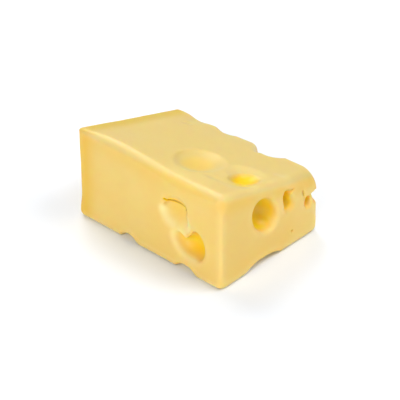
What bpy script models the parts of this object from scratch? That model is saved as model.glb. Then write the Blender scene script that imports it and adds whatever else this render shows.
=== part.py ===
"""A wedge-topped block of holey hard cheese, lying on its flat base, as one closed solid.

X runs along the block's length, the tall cut side is at -Y and the low side at +Y, and the
origin is at the middle of the base. The sizes below are in millimetres.
"""

import math
from dataclasses import dataclass

import bmesh
import bpy
from mathutils import Matrix, Vector

MM = 0.001

# Driving dimensions of the block
LENGTH = 120.0
WIDTH = 89.0
TALL_SIDE = 64.5
LOW_SIDE = 41.0

# The top falls evenly from the tall side to the low side
TOP_SLOPE = (TALL_SIDE - LOW_SIDE) / WIDTH
TOP_ANGLE = math.atan(TOP_SLOPE)

# The strip along the far end leans away from the rest of the top
STRIP_WIDTH = 13.0
STRIP_DROP = 1.2

# The near end's top edge is crisp at the tall side and worn round at the low side
CRISP_RADIUS = 1.0
WORN_RADIUS = 13.0
WEAR_STARTS_AT = 12.0
WEAR_POWER = 1.5

# How finely the block is drawn before its edges are softened
SECTION_STEP = 2.5
TOP_STEPS = 26
ARC_STEPS = 8
TRIM_BELOW_BASE = 2.5

# Softening: the grid of the remeshed skin, its smoothing, and the share of faces kept
SKIN_GRID = 1.0
SOFTENING_PASSES = 4
SOFTENING_FACTOR = 0.5
FACES_KEPT = 0.088

# Ivory-yellow paste of a mild hard cheese
PASTE_COLOUR = (0.87, 0.66, 0.24, 1.0)
PASTE_ROUGHNESS = 0.42


@dataclass(frozen=True)
class Face:
    """One side of the block: a point on it, its two directions and its outward normal."""

    origin: Vector
    across: Vector
    along: Vector

    @property
    def outward(self):
        return self.across.cross(self.along)


FACES = {
    "front": Face(Vector((0, -WIDTH / 2, 0)), Vector((1, 0, 0)), Vector((0, 0, 1))),
    "back": Face(Vector((0, WIDTH / 2, 0)), Vector((-1, 0, 0)), Vector((0, 0, 1))),
    "near": Face(Vector((LENGTH / 2, 0, 0)), Vector((0, 1, 0)), Vector((0, 0, 1))),
    "far": Face(Vector((-LENGTH / 2, 0, 0)), Vector((0, -1, 0)), Vector((0, 0, 1))),
    "top": Face(
        Vector((0, 0, (TALL_SIDE + LOW_SIDE) / 2)),
        Vector((1, 0, 0)),
        Vector((0, math.cos(TOP_ANGLE), -math.sin(TOP_ANGLE))),
    ),
    "base": Face(Vector((0, 0, 0)), Vector((1, 0, 0)), Vector((0, -1, 0))),
}


@dataclass(frozen=True)
class Eye:
    """A gas hole that the knife cut open: an ellipsoid set into one side of the block.

    place is its centre on the side, across and along. radii are half its width, half its
    height and half its depth. lift moves the centre out of the side, so a shallow dish has
    a large lift. spin turns it within the side, anticlockwise in degrees.
    """

    name: str
    side: str
    place: tuple
    radii: tuple
    lift: float = 0.0
    spin: float = 0.0


EYES = (
    # Tall cut side: the upper eye with its tongue, and the heart of two eyes below it
    Eye("upper_roof", "front", (22.0, 40.5), (10.5, 8.0, 8.5), 1.0, -20),
    Eye("upper_tongue", "front", (22.5, 32.5), (15.5, 8.0, 7.0), 2.5, -55),
    Eye("heart_left", "front", (26.5, 17.5), (6.5, 4.8, 7.0), 0.5, -40),
    Eye("heart_right", "front", (37.5, 20.5), (6.5, 10.5, 9.0), 0.5, 24),
    Eye("heart_floor", "front", (35.0, 16.5), (10.0, 4.8, 9.0), 0.5, -14),
    # Near end: the round eye, the keyhole, and the small eyes by the worn corner
    Eye("round", "near", (-6.3, 33.2), (10.7, 12.3, 14.0), 1.0, -8),
    Eye("keyhole", "near", (16.5, 36.0), (4.6, 7.2, 9.0), 0.5, -12),
    Eye("keyhole_lip", "near", (20.0, 34.5), (4.0, 4.2, 4.0), 0.5, 0),
    Eye("pocket", "near", (36.5, 24.5), (3.6, 4.6, 5.0), 0.5, -15),
    Eye("pocket_slit", "near", (32.5, 31.0), (1.3, 3.5, 3.5), 0.0, 20),
    Eye("corner_nick", "near", (44.0, 29.0), (4.5, 2.2, 5.0), 0.0, 10),
    # Sloping top: the wide dish, the undercut eye near the end, its soft lip, and a small pit
    Eye("dish", "top", (8.5, -8.0), (16.5, 21.0, 7.5), 2.8, 8),
    Eye("deep", "top", (45.5, -3.5), (8.0, 11.5, 8.0), -3.0, -18),
    Eye("deep_slope", "top", (44.5, -9.5), (7.5, 11.5, 6.5), 1.5, -18),
    Eye("deep_lip", "top", (40.0, -1.5), (12.5, 14.5, 4.5), 2.6, -30),
    Eye("pit", "top", (-36.0, 30.5), (3.5, 4.5, 2.2), 0.6, 0),
    # Low side: the eyes that break its top edge, and their hidden neighbours
    Eye("edge_breaker", "back", (-22.0, 40.0), (10.0, 12.0, 11.0), 1.0, 0),
    Eye("edge_breaker_lip", "back", (-13.5, 43.0), (5.0, 6.5, 5.0), 0.5, 0),
    Eye("edge_wave", "back", (16.0, 42.5), (9.0, 4.0, 5.0), 1.0, 0),
    Eye("back_round", "back", (24.0, 20.0), (10.5, 12.0, 10.0), 1.0, 20),
    Eye("back_small", "back", (49.0, 28.0), (5.0, 6.5, 5.0), 0.5, 0),
    Eye("back_oval", "back", (-5.0, 13.0), (8.5, 5.5, 6.0), 0.8, 15),
    # Far end, turned away from the view
    Eye("far_round", "far", (12.0, 37.0), (11.0, 10.0, 10.0), 1.0, 0),
    Eye("far_oval", "far", (-17.0, 20.0), (9.0, 7.0, 8.0), 1.0, 25),
    Eye("far_small", "far", (29.0, 16.0), (5.0, 5.5, 5.0), 0.5, 0),
    # Base: eyes that lift the lower edges clear of the table, and two in the middle
    Eye("front_arch", "base", (-18.0, 45.0), (7.5, 7.0, 5.0), 0.8, 0),
    Eye("front_nick", "base", (31.0, 46.0), (7.5, 5.0, 5.0), 0.4, 0),
    Eye("near_arch", "base", (60.5, 7.0), (9.0, 16.5, 5.5), 0.5, 0),
    Eye("base_dish", "base", (-30.0, -14.0), (15.0, 11.0, 6.0), 2.0, 20),
    Eye("base_small", "base", (24.0, -25.0), (8.0, 7.0, 5.0), 1.0, 0),
)


@dataclass(frozen=True)
class Swell:
    """A broad low rise in the cut top, or a hollow where its height is negative."""

    x: float
    y: float
    reach: float
    height: float


SWELLS = (
    Swell(-27.0, -46.0, 19.0, 1.5),
    Swell(21.0, -47.0, 14.0, -2.0),
    Swell(-12.0, 46.0, 20.0, -0.8),
)


def clear_scene():
    """Take every object out of the scene."""
    for found in list(bpy.data.objects):
        bpy.data.objects.remove(found, do_unlink=True)


def top_height(x, y):
    """Height of the top above the base: the even slope, its swells and the end strip."""
    height = TALL_SIDE - TOP_SLOPE * (y + WIDTH / 2)
    for swell in SWELLS:
        distance = math.hypot(x - swell.x, y - swell.y) / swell.reach
        height += swell.height * math.exp(-(distance**2))
    into_strip = max(0.0, (STRIP_WIDTH - LENGTH / 2 - x) / STRIP_WIDTH)
    return height - STRIP_DROP * into_strip


def end_radius(y):
    """Radius of the near end's top edge, which grows towards the low side."""
    worn = max(0.0, (y - WEAR_STARTS_AT) / (WIDTH / 2 - WEAR_STARTS_AT))
    return CRISP_RADIUS + (WORN_RADIUS - CRISP_RADIUS) * worn**WEAR_POWER


def block_section(y):
    """Outline of the block in X and Z at one place across its width, anticlockwise."""
    radius = end_radius(y)
    arc_starts = LENGTH / 2 - radius
    top = top_height(arc_starts, y)
    outline = [(-LENGTH / 2, -TRIM_BELOW_BASE), (LENGTH / 2, -TRIM_BELOW_BASE)]
    for step in range(ARC_STEPS + 1):
        angle = math.pi / 2 * step / ARC_STEPS
        x = arc_starts + radius * math.cos(angle)
        z = top - radius + radius * math.sin(angle)
        outline.append((x, z))
    for step in range(1, TOP_STEPS + 1):
        x = arc_starts - (arc_starts + LENGTH / 2) * step / TOP_STEPS
        outline.append((x, top_height(x, y)))
    return outline


def link(name, mesh):
    """Put a mesh into the scene as an object of its own."""
    made = bpy.data.objects.new(name, mesh)
    bpy.context.scene.collection.objects.link(made)
    return made


def mesh_from(builder, name):
    """Turn a bmesh into a mesh whose faces all point out."""
    bmesh.ops.recalc_face_normals(builder, faces=builder.faces)
    mesh = bpy.data.meshes.new(name)
    builder.to_mesh(mesh)
    builder.free()
    return mesh


def build_block():
    """Loft the block through its sections, from the tall side to the low side."""
    builder = bmesh.new()
    count = round(WIDTH / SECTION_STEP)
    rings = []
    for index in range(count + 1):
        y = WIDTH * (index / count - 0.5)
        ring = [builder.verts.new((x * MM, y * MM, z * MM)) for x, z in block_section(y)]
        rings.append(ring)
    sides = len(rings[0])
    for ring, following in zip(rings, rings[1:]):
        for corner in range(sides):
            beside = (corner + 1) % sides
            builder.faces.new((ring[corner], ring[beside], following[beside], following[corner]))
    builder.faces.new(rings[0])
    builder.faces.new(reversed(rings[-1]))
    return link("cheese", mesh_from(builder, "cheese"))


def eye_matrix(eye):
    """Place, turn and stretch a unit ball into an eye."""
    face = FACES[eye.side]
    outward = face.outward
    centre = face.origin + face.across * eye.place[0] + face.along * eye.place[1]
    centre += outward * eye.lift
    axes = Matrix((face.across, face.along, outward)).transposed().to_4x4()
    spin = Matrix.Rotation(math.radians(eye.spin), 4, "Z")
    stretch = Matrix.Diagonal((*eye.radii, 1.0))
    return Matrix.Scale(MM, 4) @ Matrix.Translation(centre) @ axes @ spin @ stretch


def hide_cutter(cutter):
    """Show a cutter as wire only."""
    cutter.hide_render = True
    cutter.display_type = "WIRE"


def build_eyes():
    """Make the eyes as cutters in a collection of their own."""
    eyes = bpy.data.collections.new("eyes")
    for eye in EYES:
        builder = bmesh.new()
        bmesh.ops.create_icosphere(builder, subdivisions=4, radius=1.0, matrix=eye_matrix(eye))
        cutter = bpy.data.objects.new(eye.name, mesh_from(builder, eye.name))
        hide_cutter(cutter)
        eyes.objects.link(cutter)
    bpy.context.scene.collection.children.link(eyes)
    return eyes


def build_table_cutter():
    """Make the slab that trims the block flat at its base."""
    builder = bmesh.new()
    size = (2 * LENGTH * MM, 2 * WIDTH * MM, 4 * TRIM_BELOW_BASE * MM)
    placing = Matrix.Translation((0, 0, -size[2] / 2)) @ Matrix.Diagonal((*size, 1.0))
    bmesh.ops.create_cube(builder, size=1.0, matrix=placing)
    cutter = link("table_cutter", mesh_from(builder, "table_cutter"))
    hide_cutter(cutter)
    return cutter


def open_eyes(block, eyes):
    """Cut the eyes out of the block."""
    cut = block.modifiers.new("eyes", "BOOLEAN")
    cut.operation = "DIFFERENCE"
    cut.operand_type = "COLLECTION"
    cut.collection = eyes
    cut.solver = "EXACT"


def soften(block):
    """Round every rim and edge a little, as the knife and handling leave them."""
    skin = block.modifiers.new("skin", "REMESH")
    skin.mode = "VOXEL"
    skin.voxel_size = SKIN_GRID * MM
    skin.use_smooth_shade = True
    smooth = block.modifiers.new("softening", "SMOOTH")
    smooth.factor = SOFTENING_FACTOR
    smooth.iterations = SOFTENING_PASSES
    fewer = block.modifiers.new("fewer_faces", "DECIMATE")
    fewer.decimate_type = "COLLAPSE"
    fewer.ratio = FACES_KEPT
    fewer.use_collapse_triangulate = True


def trim_base(block, cutter):
    """Cut the block flat where it lies on the table."""
    cut = block.modifiers.new("flat_base", "BOOLEAN")
    cut.operation = "DIFFERENCE"
    cut.object = cutter
    cut.solver = "EXACT"


def paste_material():
    """Plain ivory-yellow cheese paste."""
    material = bpy.data.materials.new("cheese_paste")
    material.use_nodes = True
    shader = material.node_tree.nodes["Principled BSDF"]
    shader.inputs["Base Color"].default_value = PASTE_COLOUR
    shader.inputs["Roughness"].default_value = PASTE_ROUGHNESS
    shader.inputs["Metallic"].default_value = 0.0
    return material


def main():
    """Build the cheese."""
    clear_scene()
    block = build_block()
    block.data.materials.append(paste_material())
    open_eyes(block, build_eyes())
    soften(block)
    trim_base(block, build_table_cutter())


main()
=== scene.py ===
"""A wedge-topped block of holey hard cheese on a plain pale table, in soft studio light.

The block and its holes are worked out as one distance: how far each point is from the paste,
negative inside it. Undercut walls, creases, and rims that are crisp on one side and soft on the
other can't be drawn as one function of two parameters, so the skin is the place where that
distance is zero. Shapes are in millimetres in the CAD model's frame until a mesh is made.
"""

import logging
import math
from collections.abc import Callable
from dataclasses import dataclass, field
from enum import Enum

import bpy
import numpy as np
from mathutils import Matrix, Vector


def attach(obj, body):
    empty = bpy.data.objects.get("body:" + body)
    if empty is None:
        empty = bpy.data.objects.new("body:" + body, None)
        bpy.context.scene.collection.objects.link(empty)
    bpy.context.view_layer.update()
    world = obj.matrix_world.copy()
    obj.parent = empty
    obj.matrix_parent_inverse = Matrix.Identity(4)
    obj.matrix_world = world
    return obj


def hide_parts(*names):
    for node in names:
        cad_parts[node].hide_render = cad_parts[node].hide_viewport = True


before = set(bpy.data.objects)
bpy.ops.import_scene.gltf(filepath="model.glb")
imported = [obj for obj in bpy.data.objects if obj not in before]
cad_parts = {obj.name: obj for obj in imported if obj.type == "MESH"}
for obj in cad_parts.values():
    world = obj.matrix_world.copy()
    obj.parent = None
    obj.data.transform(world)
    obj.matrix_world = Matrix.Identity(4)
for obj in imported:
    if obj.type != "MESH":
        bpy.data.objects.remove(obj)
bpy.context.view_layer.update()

log = logging.getLogger("cheese")

Array = np.ndarray
Field = Callable[[Array], Array]
Pair = tuple[float, float]
Triple = tuple[float, float, float]
Colour = Triple

MM = 0.001

# The block's own sizes, as in the part's source, with its top swollen by one millimetre
LENGTH = 120.0
WIDTH = 89.0
SWOLLEN = 1.0
TALL_SIDE = 64.5 + SWOLLEN
LOW_SIDE = 41.0 + SWOLLEN
TOP_SLOPE = (TALL_SIDE - LOW_SIDE) / WIDTH
TOP_ANGLE = math.atan(TOP_SLOPE)

# How a hollow meets the paste round it, in millimetres where no other unit is given
RIM_TURN = (0.25, 0.9)  # shares of facing the soft direction, from crisp to softest
RIM_REACH = 2.0  # how many soft radii past its bubbles a hollow can reach
RIM_MARGIN = 2.0  # and how much further
WALL_REACH = 3.5  # the most that a wall's richer yellow and painted shade spread away from it
WALL_REACH_BY_RADIUS = 1.6  # the same, in radii of the hollow's narrowest bubble
WALL_CORE = 0.2  # share of that reach that is wall in full
SOFTNESS_FROM = (0.8, 4.0)  # radii of a rim, from one with no painted highlight band to one with all of it
HIGHLIGHT_REACH = 2.5  # how far a painted highlight band spreads from a soft rim

# How points are settled on the skin
SLOPE_REACH = 0.05
LEAST_STEEPNESS = 0.25  # least square of the slope, so that no move is wild
TINY = 1e-9


# Shapes as distances


def round_corner(first: Array, second: Array, radius: Array | float) -> Array:
    """Distance to the overlap of two volumes, with the edge where they meet rounded.

    The larger of the two distances, held at minus the radius, plus the length of what each
    distance rises above minus the radius: an arc of that radius joins the two surfaces.

    Args:
        first: Distance to one volume, negative inside it.
        second: Distance to the other volume.
        radius: Radius of the edge, in millimetres, one for all points or one for each.

    Returns:
        The distance to the overlap.
    """
    inner = np.minimum(np.maximum(first, second), -radius)
    outer = np.hypot(np.maximum(first + radius, 0.0), np.maximum(second + radius, 0.0))
    return inner + outer


def run_together(first: Array, second: Array, reach: float) -> Array:
    """Distance to two volumes that melt into each other where they come close.

    The smaller distance, less a quarter of the reach times the square of how far the two
    distances are from being a full reach apart.

    Args:
        first: Distance to one volume.
        second: Distance to the other.
        reach: How near the two distances have to be before the volumes melt together.

    Returns:
        The distance to both together.
    """
    near = np.maximum(reach - np.abs(first - second), 0.0) / reach
    return np.minimum(first, second) - near * near * reach / 4.0


def smooth_step(values: Array, start: float, end: float) -> Array:
    """Ease from 0 at the start to 1 at the end, by three squares less two cubes."""
    share = np.clip((values - start) / (end - start), 0.0, 1.0)
    return share * share * (3.0 - 2.0 * share)


class Side(Enum):
    """The block's sides: a point on each, and its across and along directions."""

    FRONT = ((0.0, -WIDTH / 2, 0.0), (1.0, 0.0, 0.0), (0.0, 0.0, 1.0))
    BACK = ((0.0, WIDTH / 2, 0.0), (-1.0, 0.0, 0.0), (0.0, 0.0, 1.0))
    NEAR = ((LENGTH / 2, 0.0, 0.0), (0.0, 1.0, 0.0), (0.0, 0.0, 1.0))
    FAR = ((-LENGTH / 2, 0.0, 0.0), (0.0, -1.0, 0.0), (0.0, 0.0, 1.0))
    TOP = (
        (0.0, 0.0, (TALL_SIDE + LOW_SIDE) / 2),
        (1.0, 0.0, 0.0),
        (0.0, math.cos(TOP_ANGLE), -math.sin(TOP_ANGLE)),
    )
    BASE = ((0.0, 0.0, 0.0), (1.0, 0.0, 0.0), (0.0, -1.0, 0.0))

    @property
    def axes(self) -> Array:
        """The across, along and outward directions, as rows."""
        across, along = np.array(self.value[1]), np.array(self.value[2])
        return np.array([across, along, np.cross(across, along)])

    def local(self, points: Array) -> Array:
        """Turn points into their places across, along and out of this side."""
        return (points - np.array(self.value[0])) @ self.axes.T


@dataclass(frozen=True)
class Bubble:
    """An egg-shaped bubble of gas, set into one side of the block.

    Args:
        across: Place of its middle across the side.
        along: Place of its middle along the side.
        radii: Half its width, half its height and half its depth.
        lift: How far its middle stands out of the side.
        spin: Turn within the side, anticlockwise in degrees.
        lean: How far its deeper parts shift across and along, for each unit of depth.
    """

    across: float
    along: float
    radii: Triple
    lift: float = 0.0
    spin: float = 0.0
    lean: Pair = (0.0, 0.0)

    def distance(self, local: Array) -> Array:
        """Distance to the bubble's wall.

        With each point's place divided by the radii, the length of that times its excess
        over 1, over the steepness with which it grows: nearly the true distance by the wall.

        Args:
            local: Points across, along and out of the bubble's side.

        Returns:
            The distance, negative inside the bubble.
        """
        turn = math.radians(self.spin)
        cosine, sine = math.cos(turn), math.sin(turn)
        z = local[:, 2] - self.lift
        x = local[:, 0] - self.across + self.lean[0] * z
        y = local[:, 1] - self.along + self.lean[1] * z
        turned = np.stack((x * cosine + y * sine, y * cosine - x * sine, z), axis=1)
        stretched = np.linalg.norm(turned / self.radii, axis=1)
        pull = turned / np.square(self.radii)
        pull_x = pull[:, 0] * cosine - pull[:, 1] * sine
        pull_y = pull[:, 0] * sine + pull[:, 1] * cosine
        pull_z = pull[:, 2] + self.lean[0] * pull_x + self.lean[1] * pull_y
        slope = np.sqrt(pull_x**2 + pull_y**2 + pull_z**2) + TINY
        return stretched * (stretched - 1.0) / slope

    def near(self, local: Array, margin: float) -> Array:
        """Which points lie near the bubble.

        Those that are nearer its middle than its longest radius, plus how far its deepest
        part leans, plus a margin.

        Args:
            local: Points across, along and out of the bubble's side.
            margin: How far past the bubble to look.

        Returns:
            True at each point that lies near.
        """
        middle = np.array([self.across, self.along, self.lift])
        reach = max(self.radii) + math.hypot(*self.lean) * self.radii[2] + margin
        return np.linalg.norm(local - middle, axis=1) < reach


@dataclass(frozen=True)
class Tongue:
    """A corner of paste that stands over a hollow: the wedge between two straight edges.

    Args:
        across: Place of its tip across the side.
        along: Place of its tip along the side.
        edges: Directions of its two edges from the tip, anticlockwise in degrees.
        tip: Radius of its tip.
    """

    across: float
    along: float
    edges: Pair
    tip: float = 1.5

    def distance(self, local: Array) -> Array:
        """Distance to the wedge: the rounded overlap of the half planes behind its edges.

        Args:
            local: Points across, along and out of the tongue's side.

        Returns:
            The distance, negative inside the tongue.
        """
        x, y = local[:, 0] - self.across, local[:, 1] - self.along
        right, left = (math.radians(edge) for edge in self.edges)
        beyond_right = x * math.sin(right) - y * math.cos(right)
        beyond_left = y * math.cos(left) - x * math.sin(left)
        return round_corner(beyond_right, beyond_left, self.tip)


@dataclass(frozen=True)
class Rim:
    """The rounded edge where a hollow meets the side that it opens in.

    Args:
        crisp: Its radius where it is crisp.
        soft: Its radius where it is softest.
        toward: Direction in which it is softest, anticlockwise in degrees.
    """

    crisp: float = 0.8
    soft: float = 0.8
    toward: float = 0.0

    def radius(self, across: Array, along: Array) -> Array:
        """Radius of the rim, which eases from crisp to soft round the hollow.

        The ease is over a half plus half the cosine of the angle from the soft direction.

        Args:
            across: Places across the side, from the hollow's middle.
            along: Places along the side, from the hollow's middle.

        Returns:
            The radius for each.
        """
        angle = np.arctan2(along, across)
        facing = 0.5 + 0.5 * np.cos(angle - math.radians(self.toward))
        return self.crisp + (self.soft - self.crisp) * smooth_step(facing, *RIM_TURN)


@dataclass(frozen=True)
class Hollow:
    """One opening in the cheese, where the knife cut through one bubble or a few.

    Args:
        name: What the hollow is.
        side: The side that it opens in.
        bubbles: The bubbles that ran together in it.
        merge: How near two of them have to be to melt into one.
        crease: Radius of the crease between a tongue and the hollow's wall.
        tongues: Corners of paste that were left standing in it.
        rim: Its rim.
        richness_and_shade: How soon its walls turn to the deeper yellow and, deepest, to painted
            shade, 1 for most.
        rim_highlight: How strong the painted highlight on its rim is where the rim is soft.
    """

    name: str
    side: Side
    bubbles: tuple[Bubble, ...]
    merge: float = 3.0
    crease: float = 0.3
    tongues: tuple[Tongue, ...] = ()
    rim: Rim = Rim()
    richness_and_shade: float = 1.0
    rim_highlight: float = 0.0

    def near(self, local: Array) -> Array:
        """Which points, across, along and out of the side, the hollow can reach."""
        margin = RIM_REACH * self.rim.soft + RIM_MARGIN
        return np.any([bubble.near(local, margin) for bubble in self.bubbles], axis=0)

    def distance(self, local: Array) -> Array:
        """Distance to the hollow: its bubbles run together, less its tongues.

        Args:
            local: Points across, along and out of the hollow's side.

        Returns:
            The distance, negative inside the hollow.
        """
        space = self.bubbles[0].distance(local)
        for bubble in self.bubbles[1:]:
            space = run_together(space, bubble.distance(local), self.merge)
        for tongue in self.tongues:
            space = round_corner(space, -tongue.distance(local), self.crease)
        return space

    def rim_radius(self, local: Array) -> Array:
        """Radius of the rim for points across, along and out of the side."""
        across, along = np.mean([(bubble.across, bubble.along) for bubble in self.bubbles], axis=0)
        return self.rim.radius(local[:, 0] - across, local[:, 1] - along)

    def open_in(self, points: Array, paste: Array) -> None:
        """Take the hollow out of the paste's distances, in place.

        Args:
            points: Points of the block, one to a row.
            paste: Distance to the paste at each point, changed where the hollow reaches.
        """
        local = self.side.local(points)
        reached = np.flatnonzero(self.near(local))
        local = local[reached]
        rim = self.rim_radius(local)
        paste[reached] = round_corner(paste[reached], -self.distance(local), rim)

    def enrich(self, points: Array, lining_and_shade: Array, edge: Array) -> None:
        """Deepen the walls' yellow and painted shade in this hollow, and paint a highlight on its
        rim as far as the rim is soft.

        Both fade with the distance from the wall, and the painted highlight also with depth, as a
        bell: e to minus the square of each over its reach. A crisp rim loses its painted edge
        highlight.

        Args:
            points: Points of the skin.
            lining_and_shade: Depth of each, multiplied in place by the richness on the wall, which
                deepens its yellow and painted shade.
            edge: Strength of the painted highlight at each, raised in place beside a soft rim and
                lowered by a crisp one.
        """
        local = self.side.local(points)
        reached = np.flatnonzero(self.near(local))
        local = local[reached]
        away = np.abs(self.distance(local))
        narrowest = min(min(bubble.radii) for bubble in self.bubbles)
        reach = min(WALL_REACH, WALL_REACH_BY_RADIUS * narrowest)
        on_wall = 1.0 - smooth_step(away, WALL_CORE * reach, reach)
        softness = smooth_step(self.rim_radius(local), *SOFTNESS_FROM)
        beside_rim = np.exp(-((away / HIGHLIGHT_REACH) ** 2) - (lining_and_shade[reached] / HIGHLIGHT_REACH) ** 2)
        # painted highlight: lowered on crisp rims, raised beside soft ones
        edge[reached] *= 1.0 - (1.0 - softness) * on_wall
        edge[reached] = np.maximum(edge[reached], self.rim_highlight * softness * beside_rim)
        # the wall's deeper yellow and painted shade
        lining_and_shade[reached] *= 1.0 + (self.richness_and_shade - 1.0) * on_wall


@dataclass(frozen=True)
class Swell:
    """A broad low rise of the cut top, or a dip where its height is negative.

    Args:
        x: Place of its middle along the block.
        y: Place of its middle across the block.
        reach: How far it spreads along and across, where it has fallen to 1 over e.
        height: Its height at the middle.
        spin: Turn seen from above, anticlockwise in degrees.
    """

    x: float
    y: float
    reach: Pair
    height: float
    spin: float = 0.0

    def rise(self, x: Array, y: Array) -> Array:
        """Height of the rise: e to minus the square of the distance from its middle, in reaches.

        Args:
            x: Places along the block.
            y: Places across the block.

        Returns:
            The height at each.
        """
        turn = math.radians(self.spin)
        dx, dy = x - self.x, y - self.y
        along = (dx * math.cos(turn) + dy * math.sin(turn)) / self.reach[0]
        across = (dy * math.cos(turn) - dx * math.sin(turn)) / self.reach[1]
        return self.height * np.exp(-(along**2) - across**2)


@dataclass(frozen=True)
class Ripple:
    """A faint wave in the cut faces, as a wire or blade leaves it.

    Args:
        wavelength: From crest to crest.
        height: Height of a crest.
        heading: The way that the wave runs, of any length.
        start: Angle of the sine at the frame's origin, in radians.
    """

    wavelength: float
    height: float
    heading: Triple
    start: float

    def rise(self, points: Array) -> Array:
        """Height of the wave: the sine of the distance along its heading, in wavelengths.

        Args:
            points: Points in millimetres, one to a row.

        Returns:
            The height at each.
        """
        heading = np.array(self.heading) / np.linalg.norm(self.heading)
        turns = 2.0 * math.pi * (points @ heading) / self.wavelength
        return self.height * np.sin(turns + self.start)


@dataclass(frozen=True)
class Block:
    """The block of paste before its holes: six cut sides with rounded edges.

    Args:
        edge: Radius of the sides' edges.
        rounder_at_top: How much rounder they are along the front's top.
        fade_below_top: Heights over the top between which that comes in.
        fade_from_far_end: Distances from the far end between which it comes in.
        rounder_at_base: How much rounder they are by the base.
        base_reach: Height at which that has fallen to 1 over e.
        base_edge: Radius of the edge round the base.
        flare: How far the sides spread at the base.
        flare_reach: Height at which the flare has fallen to 1 over e.
        top_edge: Radius of the near end's top edge where it is least worn.
        worn_edge: Its radius at the low side, where it is most worn.
        wear_starts_at: Place across the block from which it is worn.
        wear_power: Power by which the wear grows from there.
        strip_width: Width of the strip of the top that leans away along the far end.
        strip_drop: How far the strip's outer edge drops.
        swells: Rises and dips of the top.
        ripples: Faint waves in all the sides.
    """

    edge: float = 2.0
    rounder_at_top: float = 4.5
    fade_below_top: Pair = (-14.0, -3.0)
    fade_from_far_end: Pair = (8.0, 24.0)
    rounder_at_base: float = 3.0
    base_reach: float = 7.0
    base_edge: float = 4.2
    flare: float = 1.9
    flare_reach: float = 10.0
    top_edge: float = 4.8
    worn_edge: float = 13.0
    wear_starts_at: float = 12.0
    wear_power: float = 1.5
    strip_width: float = 13.0
    strip_drop: float = 1.2
    swells: tuple[Swell, ...] = (
        Swell(-27.0, -46.0, (19.0, 19.0), 1.5),
        Swell(26.0, -47.0, (20.0, 12.0), -3.2),
        Swell(-12.0, 46.0, (20.0, 20.0), -0.8),
        Swell(-39.0, 46.0, (9.0, 12.0), -2.6),
        Swell(36.0, -24.5, (8.0, 2.5), -0.6, 5.0),
        Swell(53.0, 14.5, (4.0, 3.0), 0.5),
    )
    ripples: tuple[Ripple, ...] = (
        Ripple(47.0, 0.10, (1.0, 0.4, 0.2), 0.4),
        Ripple(31.0, 0.07, (-0.3, 1.0, 0.5), 1.9),
        Ripple(23.0, 0.05, (0.5, -0.3, 1.0), 3.1),
        Ripple(13.0, 0.03, (0.8, 0.9, -0.4), 0.9),
    )

    def top_height(self, x: Array, y: Array) -> Array:
        """Height of the top: the even slope, plus its swells, less the drop into the end strip.

        Args:
            x: Places along the block.
            y: Places across the block.

        Returns:
            The height over the base at each.
        """
        height = TALL_SIDE - TOP_SLOPE * (y + WIDTH / 2)
        for swell in self.swells:
            height = height + swell.rise(x, y)
        into_strip = np.maximum(self.strip_width - LENGTH / 2 - x, 0.0) / self.strip_width
        return height - self.strip_drop * into_strip

    def end_radius(self, y: Array) -> Array:
        """Radius of the near end's top edge, which grows towards the low side by a power."""
        worn = np.maximum((y - self.wear_starts_at) / (WIDTH / 2 - self.wear_starts_at), 0.0)
        return self.top_edge + (self.worn_edge - self.top_edge) * worn**self.wear_power

    def side_radius(self, points: Array, top: Array) -> Array:
        """Radius of the sides' edges: the common one, plus what the top and the base add.

        What the top adds comes in from the middle of the width to halfway to the tall side.

        Args:
            points: Points in millimetres, one to a row.
            top: How far each lies over the top.

        Returns:
            The radius for each.
        """
        x, y, z = points.T
        start, end = (place - LENGTH / 2 for place in self.fade_from_far_end)
        by_top = smooth_step(top, *self.fade_below_top) * smooth_step(-y, 0.0, WIDTH / 4)
        by_top = by_top * smooth_step(x, start, end)
        by_base = np.exp(-((np.maximum(z, 0.0) / self.base_reach) ** 2))
        return self.edge + self.rounder_at_top * by_top + self.rounder_at_base * by_base

    def distance(self, points: Array) -> Array:
        """Distance to the block: its six sides in turn, each edge rounded as it joins.

        The flare is e to minus the square of the height over its reach, and along the long
        sides it fades out towards the low one.

        Args:
            points: Points in millimetres, one to a row.

        Returns:
            The distance at each, negative inside the block.
        """
        x, y, z = points.T
        top = (z - self.top_height(x, y)) * math.cos(TOP_ANGLE)
        spread = self.flare * np.exp(-((np.maximum(z, 0.0) / self.flare_reach) ** 2))
        edge = self.side_radius(points, top)
        shape = round_corner(x - LENGTH / 2 - spread, top, self.end_radius(y))
        shape = round_corner(shape, -x - LENGTH / 2 - spread, edge)
        spread = spread * smooth_step(-y, -WIDTH / 4, 0.0)
        shape = round_corner(shape, np.abs(y) - WIDTH / 2 - spread, edge)
        for ripple in self.ripples:
            shape = shape + ripple.rise(points)
        return round_corner(shape, -z, self.base_edge)


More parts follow.
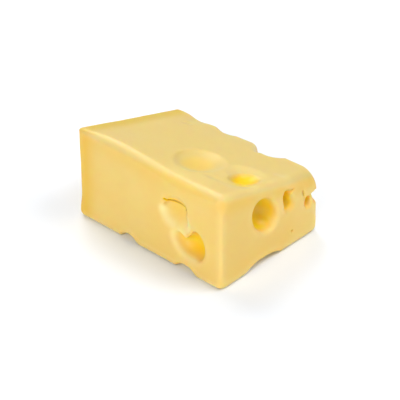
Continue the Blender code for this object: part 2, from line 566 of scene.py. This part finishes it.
FRONT_HOLLOWS = (
    Hollow(
        "brow of the upper scoop",
        Side.FRONT,
        (Bubble(24.4, 43.9, (8.6, 6.8, 4.6), 1.4, -12.0),),
        rim=Rim(0.5, 0.8, 90.0),
    ),
    Hollow(
        "upper scoop",
        Side.FRONT,
        (Bubble(21.6, 36.3, (9.6, 8.6, 6.4), 0.5, -15.0, (0.15, 0.7)),),
        tongues=(Tongue(20.0, 44.7, (-5.0, 175.0), 0.3),),
        rim=Rim(0.4, 5.0, 250.0),
        richness_and_shade=0.8,
        rim_highlight=1.0,
    ),
    Hollow(
        "crease under the scoop's brow",
        Side.FRONT,
        (Bubble(21.2, 43.9, (9.0, 1.0, 8.5), -1.0, -5.0),),
        rim=Rim(0.3, 0.3),
        # so high a richness paints the crease brown-yellow: painted shade under the brow
        richness_and_shade=20.0,
    ),
    Hollow(
        "ramp under the upper scoop",
        Side.FRONT,
        (Bubble(27.2, 31.5, (5.6, 10.0, 4.0), 1.6, 12.0),),
        rim=Rim(4.0, 4.0),
        rim_highlight=1.0,
    ),
    Hollow(
        "heart of two eyes",
        Side.FRONT,
        (
            Bubble(40.2, 22.6, (6.8, 10.0, 10.0), 1.0, 7.0),
            Bubble(28.6, 19.4, (8.4, 6.0, 7.0), 0.2, -32.0),
            Bubble(34.5, 19.0, (7.0, 5.2, 8.8), 0.0),
        ),
        merge=6.0,
        tongues=(Tongue(29.3, 21.4, (54.0, 153.0), 1.5),),
        crease=1.0,
        rim=Rim(0.6, 4.0, 225.0),
        rim_highlight=0.7,
    ),
)

NEAR_HOLLOWS = (
    Hollow(
        "round eye",
        Side.NEAR,
        (Bubble(-5.2, 34.3, (9.9, 14.9, 13.0), 1.0, 37.0),),
        rim=Rim(0.6, 2.5, -30.0),
        richness_and_shade=1.5,
        rim_highlight=0.5,
    ),
    Hollow(
        "keyhole",
        Side.NEAR,
        (
            Bubble(15.2, 35.4, (3.7, 8.4, 8.5), 0.5, 15.0),
            Bubble(17.4, 31.4, (4.2, 3.7, 5.0), 0.6, -30.0),
            Bubble(18.5, 40.6, (2.2, 0.9, 3.0), 0.0, 10.0),
        ),
        merge=1.2,
        rim=Rim(0.5, 2.5, -50.0),
        richness_and_shade=2.8,
    ),
    Hollow(
        "pocket",
        Side.NEAR,
        (Bubble(35.2, 25.0, (3.1, 4.7, 5.5), 0.5, 11.0),),
        rim=Rim(0.5, 1.5, -60.0),
        richness_and_shade=2.4,
    ),
    Hollow(
        "slit over the pocket",
        Side.NEAR,
        (Bubble(30.7, 32.8, (0.7, 3.2, 2.0), 0.0, 19.0),),
        rim=Rim(0.5, 0.5),
        richness_and_shade=2.0,
    ),
    Hollow(
        "corner nick",
        Side.NEAR,
        (
            Bubble(44.5, 28.8, (7.0, 1.6, 6.5), 0.0, 4.0),
            Bubble(45.0, 25.6, (4.6, 3.4, 4.0), 0.0),
        ),
        merge=2.0,
        rim=Rim(0.5, 3.0, -90.0),
    ),
    Hollow("pin-prick", Side.NEAR, (Bubble(19.9, 11.0, (0.9, 0.9, 0.8)),), rim=Rim(0.4, 0.4)),
)

TOP_HOLLOWS = (
    Hollow(
        "wide dish",
        Side.TOP,
        (Bubble(12.0, -12.8, (16.2, 20.3, 7.6), 3.1, 19.0),),
        rim=Rim(0.8, 3.0, -20.0),
        richness_and_shade=0.25,
    ),
    Hollow(
        "undercut eye",
        Side.TOP,
        (Bubble(49.2, -13.3, (9.8, 14.2, 9.0), 4.5, -3.0, (-0.75, 1.0)),),
        rim=Rim(0.4, 5.0, -50.0),
        # its richer walls paint the shade under the far lip
        richness_and_shade=2.4,
    ),
    Hollow(
        "lip of the undercut eye",
        Side.TOP,
        (Bubble(41.5, -3.0, (12.6, 12.6, 4.5), 2.7, 15.0),),
        rim=Rim(1.5, 2.5, 120.0),
        rim_highlight=0.3,
    ),
    Hollow("pit", Side.TOP, (Bubble(-36.0, 30.5, (3.5, 4.5, 2.2), 1.1),), rim=Rim(1.0)),
)

BACK_HOLLOWS = (
    Hollow(
        "eye that breaks the low edge",
        Side.BACK,
        (
            Bubble(-23.5, 41.0, (10.0, 12.0, 11.0), 1.0),
            Bubble(-18.0, 42.5, (5.4, 7.5, 5.0), 0.5),
        ),
        rim=Rim(1.2, 6.0, 0.0),
    ),
    Hollow(
        "wave in the low edge",
        Side.BACK,
        (Bubble(16.0, 42.5, (9.0, 4.0, 5.0), 1.0),),
        rim=Rim(1.5),
    ),
    Hollow(
        "round back eye",
        Side.BACK,
        (Bubble(24.0, 20.0, (10.5, 12.0, 10.0), 1.0, 20.0),),
        rim=Rim(0.8, 3.0, -70.0),
    ),
    Hollow(
        "small back eye",
        Side.BACK,
        (Bubble(49.0, 28.0, (5.0, 6.5, 5.0), 0.5),),
        rim=Rim(0.7, 2.0, -120.0),
    ),
    Hollow(
        "oval back eye",
        Side.BACK,
        (Bubble(-5.0, 13.0, (8.5, 5.5, 6.0), 0.8, 15.0),),
        rim=Rim(0.7, 2.5, -60.0),
    ),
)

FAR_HOLLOWS = (
    Hollow(
        "round far eye",
        Side.FAR,
        (Bubble(12.0, 37.0, (11.0, 10.0, 10.0), 1.0),),
        rim=Rim(0.8, 3.0, -80.0),
    ),
    Hollow(
        "oval far eye",
        Side.FAR,
        (Bubble(-17.0, 20.0, (9.0, 7.0, 8.0), 1.0, 25.0),),
        rim=Rim(0.7, 2.5, -100.0),
    ),
    Hollow("small far eye", Side.FAR, (Bubble(29.0, 16.0, (5.0, 5.5, 5.0), 0.5),)),
)

BASE_HOLLOWS = (
    Hollow(
        "arch under the front",
        Side.BASE,
        (Bubble(-16.5, 46.0, (7.8, 13.0, 6.2), 0.8),),
        rim=Rim(1.2),
    ),
    Hollow(
        "nick under the front",
        Side.BASE,
        (Bubble(32.0, 47.0, (9.0, 13.0, 5.8), 0.4),),
        rim=Rim(1.2),
    ),
    Hollow(
        "arch under the near end",
        Side.BASE,
        (Bubble(60.5, 7.0, (14.0, 16.5, 5.7), 0.4),),
        rim=Rim(1.2),
    ),
    Hollow("dish in the base", Side.BASE, (Bubble(-30.0, -14.0, (15.0, 11.0, 6.0), 2.0, 20.0),)),
    Hollow("small eye in the base", Side.BASE, (Bubble(24.0, -25.0, (8.0, 7.0, 5.0), 1.0),)),
    Hollow("low hollow under the front", Side.BASE, (Bubble(9.0, 47.0, (19.0, 12.0, 2.2), 0.7),)),
)

SEEN_HOLLOWS = TOP_HOLLOWS + FRONT_HOLLOWS + NEAR_HOLLOWS
HIDDEN_HOLLOWS = BACK_HOLLOWS + FAR_HOLLOWS + BASE_HOLLOWS


# From distances to a skin


@dataclass(frozen=True)
class Lattice:
    """A box of evenly spaced points, in which a skin is drawn where the distance is zero.

    Args:
        low: The box's lowest corner.
        high: Its highest corner, which the points reach or pass.
        step: Distance from one point to the next.
    """

    low: Triple
    high: Triple
    step: float

    def grid(self) -> Array:
        """List the lattice's points.

        Returns:
            The points, by their place along X, Y and Z.
        """
        ends = zip(self.low, self.high)
        axes = [np.arange(low, high + self.step, self.step) for low, high in ends]
        return np.stack(np.meshgrid(*axes, indexing="ij"), axis=-1)


def draw_skin(distance: Field, lattice: Lattice) -> tuple[Array, Array]:
    """Draw the closed skin where a distance is zero.

    Each cell of the lattice that the skin passes through gets one point, the mean of the
    places where the skin crosses the cell's edges. Each edge that the skin crosses gets one
    four-sided face, through the points of the four cells round that edge.

    Args:
        distance: Gives the distance at any points, negative inside.
        lattice: Where to look for the skin.

    Returns:
        The skin's points and its faces, turned outwards.
    """
    grid = lattice.grid()
    values = distance(grid.reshape(-1, 3)).reshape(grid.shape[:3])
    inside = values < 0.0
    cells = np.array(values.shape) - 1
    total, count = np.zeros((*cells, 3)), np.zeros(cells)
    crossings = []
    for axis in range(3):
        start = tuple(slice(None, -1) if other == axis else slice(None) for other in range(3))
        end = tuple(slice(1, None) if other == axis else slice(None) for other in range(3))
        crossed = inside[start] != inside[end]
        crossings.append(crossed)
        fall = np.where(crossed, values[start] - values[end], 1.0)
        share = np.where(crossed, values[start] / fall, 0.0)[..., None]
        place = (grid[start] + share * (grid[end] - grid[start])) * crossed[..., None]
        first, second = (other for other in range(3) if other != axis)
        for corner in range(4):
            cut = [slice(None)] * 3
            cut[first] = slice(corner % 2, corner % 2 + cells[first])
            cut[second] = slice(corner // 2, corner // 2 + cells[second])
            total += place[tuple(cut)]
            count += crossed[tuple(cut)]
    mixed = count > 0
    points = total[mixed] / count[mixed][:, None]
    number = np.full(tuple(cells), -1)
    number[mixed] = np.arange(len(points))
    faces = []
    for axis in range(3):
        order = (axis, (axis + 1) % 3, (axis + 2) % 3)
        crossed = np.transpose(crossings[axis], order)[:, 1:-1, 1:-1]
        outward = np.transpose(inside, order)[:-1, 1:-1, 1:-1][crossed]
        cell = np.transpose(number, order)
        corners = (cell[:, :-1, :-1], cell[:, 1:, :-1], cell[:, 1:, 1:], cell[:, :-1, 1:])
        ring = np.stack([corner[crossed] for corner in corners], axis=1)
        faces.append(np.where(outward[:, None], ring, ring[:, ::-1]))
    return points, np.concatenate(faces)


def slope_of(distance: Field, points: Array, reach: float) -> Array:
    """Slope of a distance at some points.

    Along each axis, the distance a reach beyond the point less that a reach before it, over
    twice the reach.

    Args:
        distance: Gives the distance at any points.
        points: Where the slope is wanted.
        reach: How far to either side to look.

    Returns:
        The slope along X, Y and Z at each point.
    """
    steps = np.eye(3) * reach
    rises = [distance(points + step) - distance(points - step) for step in steps]
    return np.stack(rises, axis=1) / (2.0 * reach)


def settle(distance: Field, points: Array, passes: int, most: float) -> Array:
    """Move points onto the place where a distance is zero, down its slope, by Newton's rule.

    Args:
        distance: Gives the distance at any points.
        points: Where the points start.
        passes: How many times each is moved.
        most: How far one move may be.

    Returns:
        The settled points.
    """
    for _ in range(passes):
        slope = slope_of(distance, points, SLOPE_REACH)
        steep = np.maximum((slope**2).sum(axis=1), LEAST_STEEPNESS)
        move = slope * (distance(points) / steep)[:, None]
        length = np.linalg.norm(move, axis=1, keepdims=True) + TINY
        points = points - move * np.minimum(1.0, most / length)
    return points


def bend_of(distance: Field, points: Array, reach: float) -> Array:
    """How much a surface bends at some points.

    The six distances a reach away along the axes, less six times the point's own, over the
    square of the reach: the sum of 1 over the surface's two radii.

    Args:
        distance: Gives the distance at any points.
        points: Points of the surface.
        reach: How far to either side to look.

    Returns:
        The bend at each, positive where the surface stands out.
    """
    steps = np.eye(3) * reach
    around = sum(distance(points + step) + distance(points - step) for step in steps)
    return (around - 6.0 * distance(points)) / reach**2


def make_piece(name: str, points: Array, faces: Array) -> bpy.types.Object:
    """Make a smooth-shaded mesh object at the origin.

    Args:
        name: Name of the piece.
        points: Its points, in metres.
        faces: Its faces, as numbers of points.

    Returns:
        The object, linked to the scene.
    """
    mesh = bpy.data.meshes.new(name)
    mesh.from_pydata(points.tolist(), [], faces.tolist())
    mesh.shade_smooth()
    mesh.update()
    piece = bpy.data.objects.new(name, mesh)
    bpy.context.scene.collection.objects.link(piece)
    return piece


def note_on_points(piece: bpy.types.Object, name: str, values: Array) -> None:
    """Keep a number for each point of a piece, for its material to read."""
    layer = piece.data.attributes.new(name, "FLOAT", "POINT")
    layer.data.foreach_set("value", values.astype(np.float32))


# Materials


class Value:
    """A number carried by a shader socket, which plain arithmetic adds Math nodes to."""

    def __init__(self, graph: "Graph", socket: bpy.types.NodeSocket) -> None:
        """Wrap a socket of a graph."""
        self.graph = graph
        self.socket = socket

    def _math(self, operation: str, *terms: "Value | float") -> "Value":
        """Add one Math node over the given terms."""
        node = self.graph.node("ShaderNodeMath", {"operation": operation}, dict(enumerate(terms)))
        return Value(self.graph, node.outputs[0])

    def __add__(self, other: "Value | float") -> "Value":
        """Add."""
        return self._math("ADD", self, other)

    def __radd__(self, other: float) -> "Value":
        """Add to a number."""
        return self._math("ADD", other, self)

    def __sub__(self, other: "Value | float") -> "Value":
        """Subtract."""
        return self._math("SUBTRACT", self, other)

    def __rsub__(self, other: float) -> "Value":
        """Subtract from a number."""
        return self._math("SUBTRACT", other, self)

    def __mul__(self, other: "Value | float") -> "Value":
        """Multiply."""
        return self._math("MULTIPLY", self, other)

    def __rmul__(self, other: float) -> "Value":
        """Multiply a number."""
        return self._math("MULTIPLY", other, self)

    def eased(self, start: float, end: float) -> "Value":
        """Ease from 0 where the value is at the start to 1 at the end."""
        node = self.graph.node(
            "ShaderNodeMapRange",
            {"interpolation_type": "SMOOTHSTEP"},
            {"Value": self, "From Min": start, "From Max": end, "To Min": 0.0, "To Max": 1.0},
        )
        return Value(self.graph, node.outputs["Result"])


class Graph:
    """The node graph of one material, with its output and one main shader."""

    def __init__(self, name: str) -> None:
        """Start a material.

        Args:
            name: Name of the material.
        """
        self.material = bpy.data.materials.new(name)
        self.material.use_nodes = True
        self.tree = self.material.node_tree
        self.shader = self.tree.nodes["Principled BSDF"]

    def node(
        self,
        kind: str,
        settings: dict[str, object] | None = None,
        inputs: dict[str | int, object] | None = None,
    ) -> bpy.types.Node:
        """Add a node.

        Args:
            kind: The node's type.
            settings: Its settings, which are set first.
            inputs: Values or links for its sockets, by name or place.

        Returns:
            The node.
        """
        node = self.tree.nodes.new(kind)
        for name, setting in (settings or {}).items():
            setattr(node, name, setting)
        for key, value in (inputs or {}).items():
            self.feed(node.inputs[key], value)
        return node

    def feed(self, target: bpy.types.NodeSocket, value: object) -> None:
        """Link a value into a socket, or set the socket where it is a plain number or colour.

        Args:
            target: The socket that takes it.
            value: The value, socket, number or colour.
        """
        if isinstance(value, Value):
            value = value.socket
        if isinstance(value, bpy.types.NodeSocket):
            self.tree.links.new(value, target)
        elif isinstance(value, tuple) and target.type == "RGBA" and len(value) == 3:
            target.default_value = (*value, 1.0)
        else:
            target.default_value = value

    def noise(self, scale: float, detail: float, roughness: float = 0.5) -> Value:
        """Add soft noise over the object's own coordinates.

        Args:
            scale: Cycles to the metre.
            detail: How many finer layers are added, each twice as fine.
            roughness: How strong each finer layer is, next to the one before.

        Returns:
            The noise, from 0 to 1.
        """
        place = self.node("ShaderNodeTexCoord").outputs["Object"]
        inputs = {"Vector": place, "Scale": scale, "Detail": detail, "Roughness": roughness}
        return Value(self, self.node("ShaderNodeTexNoise", None, inputs).outputs["Fac"])

    def along_x(self) -> Value:
        """The object's own X, in metres."""
        place = self.node("ShaderNodeTexCoord").outputs["Object"]
        node = self.node("ShaderNodeSeparateXYZ", None, {"Vector": place})
        return Value(self, node.outputs["X"])

    def kept(self, name: str) -> Value:
        """A number that the mesh keeps for each point."""
        settings = {"attribute_type": "GEOMETRY", "attribute_name": name}
        return Value(self, self.node("ShaderNodeAttribute", settings).outputs["Fac"])

    def mix(self, first: object, second: object, share: Value) -> bpy.types.NodeSocket:
        """Mix two colours."""
        node = self.node("ShaderNodeMix", {"data_type": "RGBA"}, {0: share, 6: first, 7: second})
        return node.outputs[2]

    def finish(self, inputs: dict[str, object]) -> bpy.types.Material:
        """Feed the main shader.

        Args:
            inputs: Values, links, numbers or colours for its sockets, by name.

        Returns:
            The finished material.
        """
        for key, value in inputs.items():
            self.feed(self.shader.inputs[key], value)
        return self.material


@dataclass(frozen=True)
class PasteFinish:
    """Moist pale-yellow paste of a mild holey cheese: smooth, slightly waxy, lit from within.

    Args:
        paste: The cut paste.
        blush: Warmer patches in it.
        patches: Patches to the metre.
        patch_detail: Finer layers of the patches.
        patch_turn: Values of the noise between which paste turns to blush.
        sheened_top: The top's colour, painted greyer and paler for the sheen and cooler light that
            fall on it from above.
        sheen_share: How much of it shows.
        margin: The golden margin by the far end.
        margin_share: How much of it shows.
        margin_on_top: Its colour where it crosses the top.
        margin_from: Places along the block between which it comes in, in metres.
        under_top_share: How much of the margin's colour shows in a band under the top.
        near_end_share: How much more of it shows on the near end.
        near_end_from: Places along the block between which that comes in, in metres.
        lining_and_shade: The deeper yellow of the holes' walls: partly their own colour, partly
            painted shade and painted warm light bounced inside them.
        lining_from: Depths between which it comes in, in millimetres.
        crease_shade: Painted shade, brown-yellow, where the holes and creases are deepest.
        crease_shade_from: Depths between which the painted shade comes in, in millimetres.
        pale: Painted highlight: the pale bands along edges and soft rims.
        highlight_lost: How much of the painted highlight is lost deep in the holes.
        glow: Distances that red, green and blue light travel in the paste, as shares.
        glow_reach: The whole of that distance, in metres.
        clouds: Soft clouds of the surface to the metre.
        cloud_detail: Finer layers of the clouds.
        grain: Fine grains to the metre.
        grain_detail: Finer layers of the grain.
        grain_roughness: Strength of each finer layer.
        grain_share: Share of the relief that is grain, the rest being clouds.
        relief: Strength of the relief.
        relief_height: Its height, in metres.
        roughness: Roughness of the paste.
        cloudiness: What the clouds add to it.
        lining_gloss: What the lining takes from it.
        shine: Strength of the mirror-like part of its gloss.
    """

    paste: Colour = (0.840, 0.614, 0.175)
    blush: Colour = (0.840, 0.586, 0.152)
    patches: float = 28.0
    patch_detail: float = 2.0
    patch_turn: Pair = (0.35, 0.65)
    sheened_top: Colour = (0.740, 0.570, 0.215)
    sheen_share: float = 0.8
    margin: Colour = (0.82, 0.51, 0.030)
    margin_share: float = 0.92
    margin_on_top: Colour = (0.70, 0.47, 0.040)
    margin_from: Pair = (-0.043, -0.058)
    under_top_share: float = 0.25
    near_end_share: float = 0.2
    near_end_from: Pair = (0.052, 0.059)
    lining_and_shade: Colour = (0.96, 0.63, 0.025)
    lining_from: Pair = (1.5, 9.0)
    crease_shade: Colour = (0.60, 0.33, 0.01)
    crease_shade_from: Pair = (20.0, 34.0)
    pale: Colour = (0.96, 0.87, 0.45)
    highlight_lost: float = 0.6
    glow: Colour = (1.0, 0.55, 0.18)
    glow_reach: float = 0.0022
    clouds: float = 130.0
    cloud_detail: float = 3.0
    grain: float = 900.0
    grain_detail: float = 4.0
    grain_roughness: float = 0.6
    grain_share: float = 0.3
    relief: float = 0.25
    relief_height: float = 0.0004
    roughness: float = 0.40
    cloudiness: float = 0.10
    lining_gloss: float = 0.10
    shine: float = 0.35

    def make(self) -> bpy.types.Material:
        """Build the material.

        Returns:
            The material.
        """
        graph = Graph("cheese_paste")
        patches = graph.noise(self.patches, self.patch_detail).eased(*self.patch_turn)
        clouds = graph.noise(self.clouds, self.cloud_detail)
        grain = graph.noise(self.grain, self.grain_detail, self.grain_roughness)
        depth = graph.kept("lining_and_shade").eased(*self.lining_from)
        crease_shade = graph.kept("lining_and_shade").eased(*self.crease_shade_from)
        sheened_top = graph.kept("sheened_top")
        margin = graph.along_x().eased(*self.margin_from)
        near_end = graph.along_x().eased(*self.near_end_from)
        band = self.under_top_share + self.near_end_share * near_end
        golden = graph.mix(self.margin, self.margin_on_top, sheened_top)
        colour = graph.mix(self.paste, self.blush, patches)
        # painted sheen: the top greyer and paler, as sheen and cooler light from above make it
        colour = graph.mix(colour, self.sheened_top, sheened_top * self.sheen_share)
        colour = graph.mix(colour, golden, margin * self.margin_share)
        colour = graph.mix(colour, self.margin, graph.kept("under_top") * band)
        # the holes' deeper yellow: partly their own colour, partly painted shade and bounced light
        colour = graph.mix(colour, self.lining_and_shade, depth)
        # painted shade where the holes and creases are deepest
        colour = graph.mix(colour, self.crease_shade, crease_shade)
        # painted highlight along edges and soft rims
        colour = graph.mix(colour, self.pale, graph.kept("edge") * (1.0 - self.highlight_lost * depth))
        height = clouds * (1.0 - self.grain_share) + grain * self.grain_share
        relief = {"Strength": self.relief, "Distance": self.relief_height, "Height": height}
        rough = self.roughness + self.cloudiness * clouds - self.lining_gloss * depth
        return graph.finish(
            {
                "Base Color": colour,
                "Roughness": rough,
                "Subsurface Weight": 1.0,
                "Subsurface Radius": self.glow,
                "Subsurface Scale": self.glow_reach,
                "Specular IOR Level": self.shine,
                "Normal": graph.node("ShaderNodeBump", None, relief).outputs["Normal"],
            }
        )


@dataclass(frozen=True)
class TableFinish:
    """Plain white table top, with no gloss."""

    colour: Colour = (0.91, 0.94, 0.99)
    roughness: float = 0.9

    def make(self) -> bpy.types.Material:
        """Build the material."""
        inputs = {"Base Color": self.colour, "Roughness": self.roughness, "Specular IOR Level": 0.0}
        return Graph("table_white").finish(inputs)


# The piece and its studio


@dataclass(frozen=True)
class Cheese:
    """The block of cheese with all its holes, as one closed skin.

    Args:
        block: The block before its holes.
        hollows: The holes that open in its sides.
        finish: The paste's finish.
        step: Distance between the points of the lattice in which the skin is drawn.
        margin: How far the lattice reaches past the block.
        shift: Shift of the lattice against the block, in steps, so that no side of the block
            runs through its points.
        settlings: How many times the points are settled on the skin.
        longest_move: How far they move at each, in steps.
        deepest: Depth past which the lining gets no richer.
        edge_highlight: How strong the painted highlight on the block's edges is.
        edge_reach: How wide a bend is taken for an edge.
        edge_bend: Bend at which an edge's painted highlight is in full.
        sheened_top_from: Heights over the plain slope between which the top's painted sheen comes
            in.
        band_from: Heights over it between which the band under the top comes in.
    """

    block: Block = field(default_factory=Block)
    hollows: tuple[Hollow, ...] = SEEN_HOLLOWS + HIDDEN_HOLLOWS
    finish: PasteFinish = field(default_factory=PasteFinish)
    step: float = 0.8
    margin: float = 2.5
    shift: float = 0.37
    settlings: int = 2
    longest_move: float = 0.4
    deepest: float = 20.0
    edge_highlight: float = 0.16
    edge_reach: float = 6.0
    edge_bend: float = 0.3
    sheened_top_from: Pair = (-5.0, -2.0)
    band_from: Pair = (-16.0, -6.0)

    def distance(self, points: Array) -> Array:
        """Distance to the paste: the block less each of its hollows.

        Args:
            points: Points in millimetres, one to a row.

        Returns:
            The distance at each, negative inside the paste.
        """
        paste = self.block.distance(points)
        for hollow in self.hollows:
            hollow.open_in(points, paste)
        return paste

    def build(self) -> bpy.types.Object:
        """Make the skin and dress it.

        Returns:
            The finished piece.
        """
        reach = (LENGTH / 2 + self.margin, WIDTH / 2 + self.margin)
        shift = self.step * self.shift
        lattice = Lattice(
            (-reach[0] + shift, -reach[1] + shift, -self.margin + shift),
            (reach[0], reach[1], TALL_SIDE + self.margin),
            self.step,
        )
        points, faces = draw_skin(self.distance, lattice)
        points = settle(self.distance, points, self.settlings, self.step * self.longest_move)
        points[:, 2] = np.maximum(points[:, 2], 0.0)
        piece = make_piece("cheese_block", points * MM, faces)
        self.note_colouring(piece, points)
        piece.data.materials.append(self.finish.make())
        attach(piece, "root")
        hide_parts("cheese")
        log.info("cheese_block: %d points, %d faces", len(points), len(faces))
        return piece

    def note_colouring(self, piece: bpy.types.Object, points: Array) -> None:
        """Keep what the paste's colour follows: its depth for the deeper yellow and painted shade,
        the painted highlight on its edges, the painted sheen on the top, and the band below.

        Args:
            piece: The piece that keeps them, for each of its points.
            points: Its points, in millimetres.
        """
        lining_and_shade = np.clip(-self.block.distance(points), 0.0, self.deepest)
        bend = bend_of(self.distance, points, self.edge_reach)
        # painted highlight where the skin bends outward at an edge
        edge = self.edge_highlight * smooth_step(bend, 0.0, self.edge_bend)
        for hollow in self.hollows:
            hollow.enrich(points, lining_and_shade, edge)
        above = Side.TOP.local(points)[:, 2]
        # the top, which gets the painted sheen
        sheened_top = smooth_step(above, *self.sheened_top_from)
        note_on_points(piece, "lining_and_shade", lining_and_shade)
        note_on_points(piece, "sheened_top", sheened_top)
        note_on_points(piece, "under_top", smooth_step(above, *self.band_from) * (1.0 - sheened_top))
        note_on_points(piece, "edge", edge)


@dataclass(frozen=True)
class Lamp:
    """A soft square studio lamp, aimed at the cheese.

    Args:
        name: Name of the lamp.
        azimuth: Its direction from the cheese, in degrees as for the camera.
        elevation: Its angle above the table, in degrees.
        distance: Its distance from the target, in metres.
        size: Its side, in metres.
        power: Its power, in watts.
    """

    name: str
    azimuth: float
    elevation: float
    distance: float
    size: float
    power: float

    def build(self, target: Vector) -> bpy.types.Object:
        """Place the lamp round the target and aim it.

        Args:
            target: The point that it shines on.

        Returns:
            The lamp.
        """
        toward = direction(self.azimuth, self.elevation)
        data = bpy.data.lights.new(self.name, "AREA")
        data.shape = "SQUARE"
        data.size = self.size
        data.energy = self.power
        lamp = bpy.data.objects.new(self.name, data)
        lamp.location = target + toward * self.distance
        lamp.rotation_euler = toward.to_track_quat("Z", "Y").to_euler()
        bpy.context.scene.collection.objects.link(lamp)
        return lamp


def direction(azimuth: float, elevation: float) -> Vector:
    """Direction towards a viewpoint.

    Args:
        azimuth: Its turn round the vertical in degrees, where 0 looks along +Y.
        elevation: Its angle above the table, in degrees.

    Returns:
        The direction, of length 1.
    """
    turn, rise = math.radians(azimuth), math.radians(elevation)
    flat = math.cos(rise)
    return Vector((math.sin(turn) * flat, -math.cos(turn) * flat, math.sin(rise)))


@dataclass(frozen=True)
class Studio:
    """Pale table, soft light and the camera at the photograph's angle.

    Args:
        table_size: Side of the table, in metres.
        table_gap: How far its top lies under the cheese, in metres.
        sky: Strength of the light from all round, which the lamps make needless.
        lamps: The lamps.
        azimuth: Direction of the camera from the target, in degrees.
        elevation: Its angle above the table, in degrees.
        target: The point that the camera and the lamps are aimed at, in metres.
        distance: Distance of the camera from it, in metres.
        lens: The camera's focal length, in millimetres.
        sensor: Width of its sensor, in millimetres.
    """

    table_size: float = 6.0
    table_gap: float = 0.0001
    sky: float = 0.0
    lamps: tuple[Lamp, ...] = (
        Lamp("key_softbox", 15.0, 30.0, 1.2, 0.6, 4.8),
        Lamp("low_softbox", 30.0, 12.0, 1.2, 0.8, 3.1),
        Lamp("left_high_softbox", 10.0, 47.0, 1.2, 0.6, 2.0),
        Lamp("camera_side_high_softbox", 45.0, 62.0, 1.2, 0.6, 1.7),
        Lamp("right_back_softbox", 125.0, 50.0, 1.2, 0.8, 8.5),
        Lamp("left_back_softbox", 250.0, 50.0, 1.2, 0.8, 9.6),
    )
    azimuth: float = 42.94
    elevation: float = 33.34
    target: Triple = (0.0115, -0.0106, 0.0265)
    distance: float = 0.9121
    lens: float = 133.0
    sensor: float = 36.0

    def build(self) -> None:
        """Make the table, the lights and the camera."""
        half = self.table_size / 2
        corners = np.array([(-half, -half), (half, -half), (half, half), (-half, half)])
        points = np.column_stack((corners, np.full(4, -self.table_gap)))
        table = make_piece("table", points, np.array([[0, 1, 2, 3]]))
        table.data.materials.append(TableFinish().make())
        world = bpy.data.worlds.new("studio")
        world.use_nodes = True
        sky = world.node_tree.nodes["Background"]
        sky.inputs["Color"].default_value = (1.0, 1.0, 1.0, 1.0)
        sky.inputs["Strength"].default_value = self.sky
        bpy.context.scene.world = world
        bpy.context.scene.view_settings.view_transform = "Standard"
        for lamp in self.lamps:
            lamp.build(Vector(self.target))
        self.build_camera()
        log.info("studio: table, %d lamps and camera", len(self.lamps))

    def build_camera(self) -> None:
        """Set the camera at the photograph's viewing angle."""
        data = bpy.data.cameras.new("camera")
        data.lens = self.lens
        data.sensor_width = self.sensor
        camera = bpy.data.objects.new("camera", data)
        back = direction(self.azimuth, self.elevation)
        camera.location = Vector(self.target) + back * self.distance
        camera.rotation_euler = back.to_track_quat("Z", "Y").to_euler()
        bpy.context.scene.collection.objects.link(camera)
        bpy.context.scene.camera = camera


def main() -> None:
    """Build the studio and the cheese."""
    logging.basicConfig(level=logging.INFO, format="%(name)s: %(message)s")
    Studio().build()
    Cheese().build()


if __name__ == "__main__":
    main()
